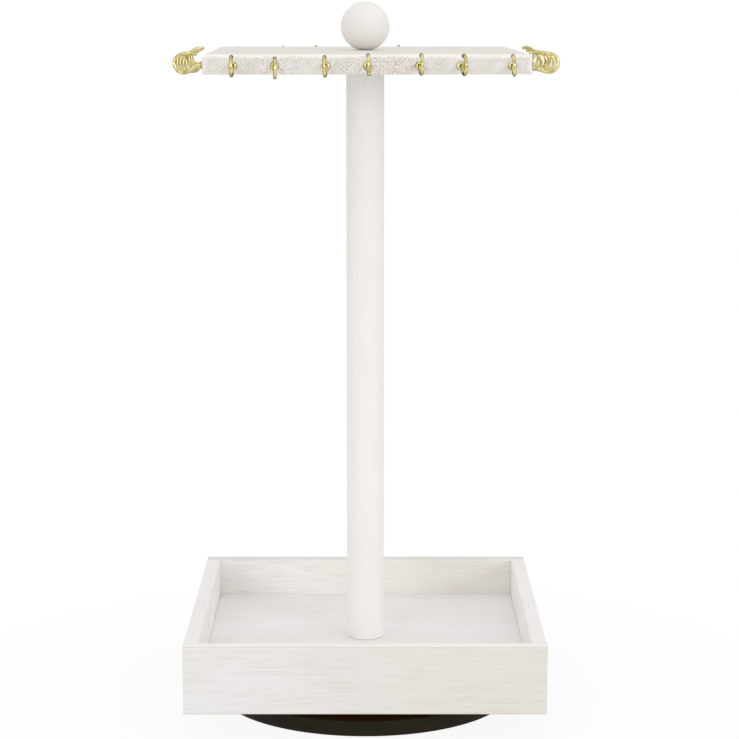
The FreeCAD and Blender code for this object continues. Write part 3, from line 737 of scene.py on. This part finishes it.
def make_board(material):
    """The hook board: wide roundings on top and at its corners, a small one underneath."""
    lowest, highest = node_box("hook_board")
    half = BOARD_SIDE / 2
    low = Vector((-half, -half, lowest.z))
    high = Vector((half, half, highest.z))
    wood = Wood("X", Vector(BOARD_PITH) + Vector((0, 0, low.z)), PLANK_RELIEF)

    def shape(point):
        rounded_low = low - Vector((0, 0, BOARD_ROUNDING))
        surface, outward, arris = eased(point, rounded_low, high, BOARD_ROUNDING)
        gap_up = BOARD_EASING - min(point.z - low.z, BOARD_EASING)
        if not gap_up:
            # the sides and the top
            return surface, outward, arris
        inward = min(half - abs(point.x), half - abs(point.y))
        gap_in = BOARD_EASING - min(inward, BOARD_EASING)
        if not gap_in:
            # the flat underside, rounded at its corners with the outline
            return surface - outward * inward, Vector((0, 0, -1)), 0.0
        level_out = Vector((outward.x, outward.y, 0)).normalized()
        turn = Vector((gap_in, gap_up)).normalized()
        surface -= level_out * BOARD_EASING * (1 - turn.x)
        surface.z = low.z + BOARD_EASING * (1 - turn.y)
        return surface, level_out * turn.x - Vector((0, 0, turn.y)), min(turn.x, turn.y)

    spacing = (CUT_ALONG, CUT_ACROSS, CUT_ACROSS)
    add_grid_box(wood, [steps(*ends, BOARD_CUTS) for ends in zip(low, high, spacing)], shape)
    bmesh.ops.rotate(wood.mesh, cent=(0, 0, 0), verts=wood.mesh.verts[:],
                     matrix=Matrix.Rotation(math.radians(BOARD_YAW), 3, "Z"))
    return make_piece("hook_board_wood", wood.mesh, material, "stand", ["hook_board"])


def turn_wood(wood, profile):
    """Turn a profile of (radius, height, outward tilt in degrees) round the Z axis."""
    rings = []
    for radius, height, tilt in profile:
        level, up = on_circle(1, tilt)
        ring = []
        for angle in ring_angles(WOOD_SEGMENTS):
            out = Vector((math.cos(angle), math.sin(angle), 0))
            outward = out * level + Vector((0, 0, up))
            ring.append(wood.add(out * radius + Vector((0, 0, height)), outward))
        rings.append(ring)
    join_rings(wood.mesh, rings)


def make_post(material):
    lowest, highest = node_box("post")
    radius = (highest.x - lowest.x) / 2
    wood = Wood("Z", POST_PITH, POST_RELIEF)
    foot = [(radius - POST_EASING, lowest.z, -90.0), (radius, lowest.z + POST_EASING, 0.0)]
    shaft = steps(lowest.z + POST_EASING * 2, highest.z - POST_EASING * 2, CUT_POST, (0.0,))
    head = [(radius, highest.z - POST_EASING, 0.0), (radius - POST_EASING, highest.z, 90.0)]
    turn_wood(wood, foot + [(radius, height, 0.0) for height in shaft] + head)
    return make_piece("post_dowel", wood.mesh, material, "stand", ["post"])


def make_ball(material):
    """The ball, turned with the small flat that it stands on."""
    lowest, highest = node_box("finial_ball")
    radius = (highest.x - lowest.x) / 2
    centre = highest.z - radius
    flat = math.degrees(math.asin((lowest.z - centre) / radius))
    wood = Wood("Z", BALL_PITH, BALL_RELIEF)
    profile = []
    for number in range(BALL_STEPS):
        tilt = flat + (90 - flat) * number / BALL_STEPS
        out, up = on_circle(radius, tilt)
        profile.append((out, centre + up, tilt))
    turn_wood(wood, profile)
    return make_piece("finial_ball_wood", wood.mesh, material, "stand", ["finial_ball"])


# ---------------------------------------------------------------------------
# Turntable disc and its feet
# ---------------------------------------------------------------------------
def eased_rim(radius, low, high, ease, count):
    """The outline of a round plate's rim, from underneath to the top: (radius, height)."""
    return (arc_points((radius - ease, low + ease), ease, -90, 0, count)
            + arc_points((radius - ease, high - ease), ease, 0, 90, count))


def make_disc(material):
    """The turntable's disc: eased rims all round, and the screwdriver hole right through it."""
    lowest, highest = node_box("turntable_disc")
    radius = (highest.x - lowest.x) / 2
    mesh = bmesh.new()
    outline = eased_rim(radius, lowest.z, highest.z, DISC_EASING, DISC_ARC_STEPS)
    skin = [add_level_ring(mesh, (0, 0), out, height, DISC_SEGMENTS) for out, height in outline]
    wide = ACCESS_HOLE_RADIUS + ACCESS_HOLE_EASING
    bore = [add_level_ring(mesh, (ACCESS_HOLE_PLACE, ACCESS_HOLE_PLACE), out, height,
                           HOLE_SEGMENTS)
            for out, height in ((wide, lowest.z),
                                (ACCESS_HOLE_RADIUS, lowest.z + ACCESS_HOLE_EASING),
                                (ACCESS_HOLE_RADIUS, highest.z - ACCESS_HOLE_EASING),
                                (wide, highest.z))]
    join_rings(mesh, skin, capped=False)
    join_rings(mesh, bore, capped=False)
    for outer, inner in ((skin[0], bore[0]), (skin[-1], bore[-1])):
        edges = [mesh.edges.get((ring[number], ring[number - 1]))
                 for ring in (outer, inner) for number in range(len(ring))]
        bmesh.ops.triangle_fill(mesh, use_beauty=True, edges=edges)
    return make_piece("stained_disc", mesh, material, "turntable_base", ["turntable_disc"])


def make_feet(material):
    """Four rubber pads with softly moulded rims and a shallow hollow underneath."""
    lowest, highest = node_box("rubber_feet")
    circle = highest.x - FOOT_RADIUS
    outline = [(radius, lowest.z + height) for radius, height in FOOT_HOLLOW]
    outline += eased_rim(FOOT_RADIUS, lowest.z, highest.z, FOOT_EASING, ARC_STEPS)
    mesh = bmesh.new()
    for place in quarter_turns(circle, 0):
        join_rings(mesh, [add_level_ring(mesh, place, radius, height, FOOT_SEGMENTS)
                          for radius, height in outline])
    return make_piece("moulded_feet", mesh, material, "turntable_base", ["rubber_feet"])


# ---------------------------------------------------------------------------
# Cup hooks
# ---------------------------------------------------------------------------
# Hooks and screws are skins through rings whose radius is a function of the angle round them.
def plain(radius):
    return lambda angle: radius


def threaded(radius, depth, pitch, run):
    """The radius round a screw thread, at a distance along it."""
    def radius_at(angle):
        share = (run / pitch - angle / (2 * math.pi)) % 1.0
        return radius - depth * abs(2 * share - 1)
    return radius_at


def shank_and_collar():
    """Rings of a hook's straight part: (outward, up, heading in degrees, radius)."""
    rings = []
    for number in range(SHANK_STEPS + 1):
        run = (SHANK_LENGTH - HOOK_THREAD_END) * number / SHANK_STEPS
        radius = WIRE_RADIUS * min(1.0, SHANK_BLUNTNESS + run / SHANK_TAPER)
        rings.append((run - SHANK_LENGTH, 0, 0,
                      threaded(radius, HOOK_THREAD_DEPTH, HOOK_THREAD_PITCH, run)))
    profile = [(-SHANK_PLAIN_END, WIRE_RADIUS), (0.0, WIRE_RADIUS + COLLAR_SEAM)]
    profile += [(out, COLLAR_RADIUS - less) for out, less in COLLAR_DOME]
    profile.append((COLLAR_THICKNESS, WIRE_RADIUS + COLLAR_FILLET))
    return rings + [(out, 0, 0, plain(radius)) for out, radius in profile]


def bent_wire(lift):
    """Rings of a hook's wire outside its collar: (outward, up, heading in degrees, radius).

    A bend turns down out of the collar, and the round loop goes on from it the other way, up to
    the rounded tip.
    """
    rise = LOOP_RISE + lift
    drop = rise + BEND_RADIUS
    span = LOOP_RADIUS + BEND_RADIUS
    straight = LOOP_REACH - math.sqrt(span * span - drop * drop)
    meeting = math.degrees(math.atan2(-drop, straight - LOOP_REACH))
    bend_end = meeting + 180
    tip = math.degrees(math.acos(-TIP_SETBACK / LOOP_RADIUS))
    rounding_start = tip - math.degrees(TIP_ROUNDING / LOOP_RADIUS)

    rings = [(COLLAR_THICKNESS + COLLAR_FILLET, 0, 0, plain(WIRE_RADIUS))]
    for number in range(BEND_STEPS + 1):
        angle = 90 + (bend_end - 90) * number / BEND_STEPS
        out, up = on_circle(BEND_RADIUS, angle)
        if straight + out > COLLAR_THICKNESS + WIRE_START:
            rings.append((straight + out, up - BEND_RADIUS, angle - 90, plain(WIRE_RADIUS)))
    loop = [(meeting + (rounding_start - meeting) * number / LOOP_STEPS, WIRE_RADIUS)
            for number in range(1, LOOP_STEPS + 1)]
    rounding = arc_points((WIRE_RADIUS - TIP_ROUNDING, 0), TIP_ROUNDING, 0, TIP_TURN, ARC_STEPS)
    loop += [(rounding_start + math.degrees(on / LOOP_RADIUS), radius)
             for radius, on in rounding[1:]]
    for angle, radius in loop:
        out, up = on_circle(LOOP_RADIUS, angle)
        rings.append((LOOP_REACH + out, rise + up, angle + 90, plain(radius)))
    return rings


def add_wire_rings(mesh, matrix, rings):
    """Vertices of rings square to a wire that lies in the matrix's own XZ plane."""
    made = []
    for out, up, heading, radius_at in rings:
        way_out, way_up = on_circle(1, heading)
        across = Vector((-way_up, 0, way_out))
        ring = []
        for angle in ring_angles(HOOK_SEGMENTS):
            spot = across * math.cos(angle) + Vector((0, -1, 0)) * math.sin(angle)
            point = Vector((out, 0, up)) + spot * radius_at(angle)
            ring.append(mesh.verts.new(matrix @ point))
        made.append(ring)
    return made


def make_hook(side, index, material):
    """A cup hook: threaded shank, domed collar and a bent wire with a rounded tip, in one skin."""
    pick = (index + NEXT_SIDE_SHIFT * side) % HOOKS_PER_SIDE
    pitch = (BOARD_SIDE - HOOK_END_MARGIN * 2) / (HOOKS_PER_SIDE - 1)
    stagger = HOOK_STAGGER if index % 2 == 0 else 0
    along = pitch * (index - (HOOKS_PER_SIDE - 1) / 2) + stagger
    outward = math.radians(BOARD_YAW + 90 * (side - 1))
    place = (Matrix.Translation((0, 0, node_box("hook_board")[0].z + HOOK_LEVEL))
             @ Matrix.Rotation(outward, 4, "Z") @ Matrix.Translation((BOARD_SIDE / 2, along, 0))
             @ Matrix.Rotation(math.radians(HOOK_LEANS[pick]), 4, "X"))
    turned = Matrix.Rotation(math.radians(HOOK_TURNS[pick]), 4, "Z")
    mesh = bmesh.new()
    join_rings(mesh, add_wire_rings(mesh, place, shank_and_collar())
               + add_wire_rings(mesh, place @ turned, bent_wire(HOOK_LIFTS[pick])))
    node = f"hook_{SIDES[side]}_{index + 1}"
    return make_piece(f"cup_{node}", mesh, material, "stand", [node], HOOK_SHARP_ANGLE)


# ---------------------------------------------------------------------------
# Pan-head screws
# ---------------------------------------------------------------------------
def recess_depth(x, y):
    """Depth of a cross recess in a screw's head."""
    reach, width = max(abs(x), abs(y)), min(abs(x), abs(y))
    if width > RECESS_HALF_WIDTH or reach > RECESS_REACH:
        return 0.0
    return RECESS_DEPTH * (1 - RECESS_TAPER * reach / RECESS_REACH)


def screw_rings(length):
    """Rings of a screw from its tip to its head: (distance from the tip, radius, recessed)."""
    rings = []
    thread_steps = round(length / PAN_THREAD_STEP)
    for number in range(thread_steps):
        run = length * number / thread_steps
        radius = PAN_SHANK * min(1.0, PAN_BLUNTNESS + run / PAN_TAPER)
        rings.append((run, threaded(radius, PAN_THREAD_DEPTH, PAN_THREAD_PITCH, run), False))
    rings.append((length, plain(PAN_SHANK), False))
    rings.append((length, plain(PAN_RADIUS - PAN_UNDERSIDE), False))
    head = arc_points((PAN_RADIUS - PAN_ROUNDING, length + PAN_HEIGHT - PAN_ROUNDING),
                      PAN_ROUNDING, 0, 90, ARC_STEPS)
    rings += [(run, plain(radius), False) for radius, run in head]
    return rings + [(length + PAN_HEIGHT, plain(radius), True) for radius in RECESS_RINGS]


def make_screws(node, material, body, at_corners, points_up):
    """Four pan-head screws at a square plate's corners or at the middles of its sides."""
    lowest, highest = node_box(node)
    reach = highest.x - PAN_RADIUS
    way = 1 if points_up else -1
    tip = highest.z if points_up else lowest.z
    mesh = bmesh.new()
    for x, y in quarter_turns(reach, reach if at_corners else 0):
        rings = []
        for run, radius_at, recessed in screw_rings(highest.z - lowest.z - PAN_HEIGHT):
            ring = []
            for angle in ring_angles(PAN_SEGMENTS):
                radius = radius_at(angle)
                out_x, out_y = radius * math.cos(angle), radius * math.sin(angle)
                depth = recess_depth(out_x, out_y) if recessed else 0.0
                ring.append(mesh.verts.new((x + out_x, y + out_y, tip - way * (run - depth))))
            rings.append(ring)
        join_rings(mesh, rings)
    return make_piece(f"turned_{node}", mesh, material, body, [node])


# ---------------------------------------------------------------------------
# The whole stand
# ---------------------------------------------------------------------------
def dress(node, material):
    """Give a CAD node a material in place of its own."""
    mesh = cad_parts[node].data
    mesh.materials.clear()
    mesh.materials.append(material)


make_camera()
make_world()
make_floor()
for lamp in LAMPS:
    make_lamp(*lamp)

tray_bottom = node_box("tray_floor")[0].z
rim = node_box("tray_front_wall")[1].z
wall_heights = {"raw_below": tray_bottom, "top_from": rim - RIM_TOP_BAND,
                "edge_from": rim - RIM_EDGE_BAND}
# The walls' top and edge tones, and the front and back walls' tones to the right, are painted
# light and shade.
tray_front = whitewash("tray_front_wash", "X", FRONT_TONES, show=0.50, top=FRONT_TOP_PAINTED_LIGHT,
                       edge=FRONT_EDGE_PAINTED_SHADE, painted_shade_right_to=FRONT_RIGHT_PAINTED_SHADE, **wall_heights)
tray_back = whitewash("tray_back_wash", "X", BACK_TONES_PAINTED_LIGHTER, show=0.44, top=BACK_TOP_PAINTED_SHADE,
                      edge=BACK_EDGE_PAINTED_SHADE, painted_shade_right_to=BACK_RIGHT_PAINTED_SHADE, **wall_heights)
tray_side = whitewash("tray_side_wash", "Y", SIDE_TONES_PAINTED_LIGHTER, show=0.36, top=SIDE_TOP,
                      edge=SIDE_EDGE_PAINTED_SHADE, **wall_heights)
floor_wash = whitewash("floor_wash", "X", FRONT_TONES, show=0.22, raw_below=tray_bottom)
# the board's top tone is painted shade and its edge tone a painted highlight
board_wash = whitewash("board_wash", "X", BOARD_TONES, show=0.20, speckle=0.54, wear=0.0,
                       top_from=node_box("hook_board")[1].z - BOARD_TOP_BAND, top=BOARD_TOP_PAINTED_SHADE,
                       edge=BOARD_EDGE_PAINTED_HIGHLIGHT)
post_wash = whitewash("post_wash", "Z", POST_TONES, show=0.22, wear=0.0)
ball_wash = whitewash("ball_wash", "Z", BALL_TONES, show=0.20, wear=0.0)
gold = brass()
black = stained_black(node_box("turntable_disc")[1].z)
zinc = simple("zinc_plate", (178, 180, 182), (198, 199, 200), size=14, roughness=0.30,
              metallic=1.0)
screw = simple("screw_zinc", (168, 168, 168), (190, 190, 190), size=5, roughness=0.28,
               metallic=1.0)
steel = simple("polished_steel", (205, 205, 207), (214, 214, 216), size=5, roughness=0.06,
               metallic=1.0, depth=0.0)
nylon = simple("nylon", (228, 225, 216), (234, 232, 225), size=8, roughness=0.5)
rubber = simple("rubber", (34, 34, 34), (42, 42, 42), size=6, roughness=0.75)

for node, finish in (("bearing_lower_plate", zinc), ("bearing_upper_plate", zinc),
                     ("ball_cage", nylon), ("bearing_balls", steel),
                     ("corner_brads", screw), ("floor_brads", screw), ("post_screw", screw),
                     ("finial_screw", screw)):
    dress(node, finish)

make_plank("front_wall_wood", "tray_front_wall", "X", FRONT_PITH, tray_front, WALL_EASING)
make_plank("back_wall_wood", "tray_back_wall", "X", BACK_PITH, tray_back, WALL_EASING)
make_plank("left_wall_wood", "tray_left_wall", "Y", LEFT_PITH, tray_side, WALL_EASING)
make_plank("right_wall_wood", "tray_right_wall", "Y", RIGHT_PITH, tray_side, WALL_EASING)
make_plank("floor_wood", "tray_floor", "X", FLOOR_PITH, floor_wash, JOINT_EASING)
make_post(post_wash)
make_board(board_wash)
make_ball(ball_wash)
make_disc(black)
make_feet(rubber)
make_screws("lower_plate_screws", screw, "turntable_base", at_corners=False, points_up=False)
make_screws("upper_plate_screws", screw, "stand", at_corners=True, points_up=True)
for side in range(len(SIDES)):
    for index in range(HOOKS_PER_SIDE):
        make_hook(side, index, gold)

bpy.context.scene.view_settings.view_transform = "Standard"
